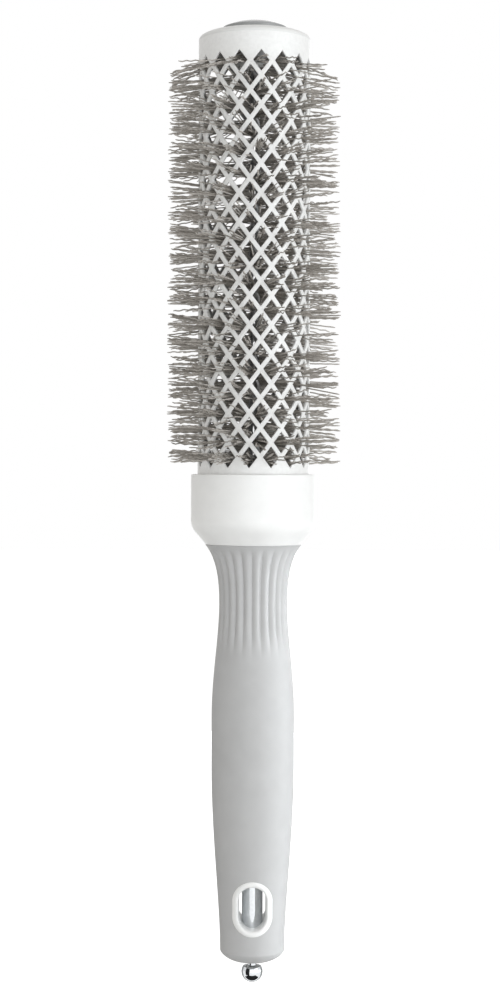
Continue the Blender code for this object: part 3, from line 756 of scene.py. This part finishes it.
ball_bottom, ball_flat = (corner.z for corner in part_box("pick_ball"))
ball_centre = ball_bottom + BALL_R
flat_turn = math.degrees(math.asin((ball_flat - ball_centre - BALL_NECK) / BALL_R))
ball_outline = [
    (0, rod_bottom - HAIRLINE),
    (rod_r + HAIRLINE, rod_bottom - HAIRLINE),
    (rod_r + HAIRLINE, ball_flat),
]
ball_outline += arc(0, ball_centre, BALL_R, BALL_R, flat_turn, -90, 40)
ball_outline[-1] = (0, ball_bottom)
ball = lathe("ball_pull", ball_outline)
dress(ball, "pick", chrome, "chrome_plate", "pick_ball")

rubber = new_finish("black_rubber", (0.03, 0.03, 0.03), 0.7)
rubber_bloom = speckle(rubber, 0.0005, 3.0)
tint(rubber, rubber_bloom, (0.02, 0.02, 0.02), (0.045, 0.045, 0.045))
roughen(rubber, rubber_bloom, 0.6, 0.85)
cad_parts["pick_ring"].data.materials.clear()
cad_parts["pick_ring"].data.materials.append(rubber)

# Studio: a pale floor below the reach of the drawn pick, and a white surround that the camera and the
# bright pieces see. Softboxes on the right, behind the camera and at the back light the brush, and a
# strip light behind a grid the right side of its handle.
FLOOR_HEIGHT = -0.16
AMBIENT = 0.555, 0.545, 0.525  # colour of the light from all round
FLOOR_GLOW = 0.62  # what the camera sees on top of the light on the floor
LAMP_COLOUR = 0.925, 0.965, 1.0


def light_path_switch(tree, outputs):
    """A value of 1 for the listed kinds of ray, and 0 for others."""
    path = tree.nodes.new("ShaderNodeLightPath")
    value = path.outputs[outputs[0]]
    for name in outputs[1:]:
        either = tree.nodes.new("ShaderNodeMath")
        either.operation = "MAXIMUM"
        tree.links.new(value, either.inputs[0])
        tree.links.new(path.outputs[name], either.inputs[1])
        value = either.outputs[0]
    return value


bpy.ops.object.select_all(action="DESELECT")
bpy.ops.mesh.primitive_circle_add(vertices=96, radius=6, fill_type="NGON", location=(0, 0, FLOOR_HEIGHT))
floor = bpy.context.object
floor.name = "floor"
paper = new_finish("floor_paper", (0.82, 0.82, 0.82), 0.8)
glow = paper.node_tree.nodes.new("ShaderNodeMapRange")
glow.inputs["To Max"].default_value = FLOOR_GLOW
seen = light_path_switch(paper.node_tree, ["Is Camera Ray", "Is Glossy Ray", "Is Transmission Ray"])
paper.node_tree.links.new(seen, glow.inputs["Value"])
paper_shader = paper.node_tree.nodes["Principled BSDF"]
paper_shader.inputs["Emission Color"].default_value = (1, 1, 1, 1)
paper.node_tree.links.new(glow.outputs["Result"], paper_shader.inputs["Emission Strength"])
floor.data.materials.append(paper)

surround = bpy.data.worlds.new("surround")
surround.use_nodes = True
bpy.context.scene.world = surround
shown = surround.node_tree.nodes.new("ShaderNodeMixRGB")
shown.inputs["Color1"].default_value = (*AMBIENT, 1)
shown.inputs["Color2"].default_value = (1, 1, 1, 1)
seen = light_path_switch(surround.node_tree, ["Is Camera Ray", "Is Glossy Ray", "Is Transmission Ray"])
surround.node_tree.links.new(seen, shown.inputs["Fac"])
background = surround.node_tree.nodes["Background"]
background.inputs["Strength"].default_value = 1
surround.node_tree.links.new(shown.outputs["Color"], background.inputs["Color"])


def softbox(name, place, aim_height, size, spread, power):
    """A slightly cool area lamp that faces a height on the brush's axis."""
    bpy.ops.object.light_add(type="AREA", location=place)
    lamp = bpy.context.object
    lamp.name = name
    lamp.data.shape = "RECTANGLE"
    lamp.data.size, lamp.data.size_y = size
    lamp.data.spread = math.radians(spread)
    lamp.data.energy = power
    lamp.data.color = LAMP_COLOUR
    aim = Vector((0, 0, aim_height)) - Vector(place)
    lamp.rotation_euler = aim.to_track_quat("-Z", "Y").to_euler()


softbox("key_softbox", (0.71, -0.555, 0.0), 0.075, (0.8, 1.2), 180, 6.25)
softbox("front_softbox", (0.08, -1.3, 0.08), 0.075, (0.9, 0.9), 180, 4.75)
softbox("back_softbox", (0.2, 1.28, 0.08), 0.075, (0.9, 0.9), 180, 4.6)
softbox("handle_strip", (0.472, 0.05, -0.0115), -0.0115, (0.1, 0.147), 3, 0.023)

# Cards: two black ones and a grey one close to the ball, as in a photo studio. They show only in
# reflections, and give the chromed pieces their dark parts.
CARD_HEIGHT = FLOOR_HEIGHT + 0.003
black = new_finish("black_card", (0.01, 0.01, 0.01), 0.9)
grey = new_finish("grey_card", (0.4, 0.4, 0.4), 0.9)
for name, finish, place, turn, size in (
    ("card_left", black, (-0.094, -0.075, -0.07), (math.pi / 2, 0, -math.radians(51)), (0.1, 0.17, 1)),
    ("card_below", black, (-0.005, -0.04, CARD_HEIGHT), (0, 0, 0), (0.19, 0.13, 1)),
    ("card_behind", grey, (0, 0.07, -0.07), (math.pi / 2, 0, 0), (0.3, 0.17, 1)),
):
    bpy.ops.mesh.primitive_plane_add(size=1, location=place, rotation=turn)
    card = bpy.context.object
    card.name = name
    card.scale = size
    card.data.materials.append(finish)
    card.visible_camera = False
    card.visible_diffuse = False
    card.visible_shadow = False

# Camera: straight on, a little above the middle of the brush, with a long lens. A shift and a slight
# roll set the brush in the frame.
PHOTO_HEIGHT = 0.3125  # height of the frame at the brush
CAMERA_DISTANCE = 0.65
CAMERA_HEIGHT = 0.083
FRAME_CENTRE = -0.00111, 0.075  # point of the brush's middle plane in the middle of the frame
CAMERA_ROLL = math.radians(-0.18)
bpy.ops.object.camera_add(
    location=(FRAME_CENTRE[0], -CAMERA_DISTANCE, CAMERA_HEIGHT), rotation=(math.pi / 2, CAMERA_ROLL, 0)
)
camera = bpy.context.object
camera.name = "camera"
camera.data.lens = camera.data.sensor_width * CAMERA_DISTANCE / PHOTO_HEIGHT
camera.data.shift_y = (FRAME_CENTRE[1] - CAMERA_HEIGHT) / PHOTO_HEIGHT
camera.data.clip_start = 0.05
bpy.context.scene.camera = camera
bpy.context.scene.view_settings.view_transform = "Standard"
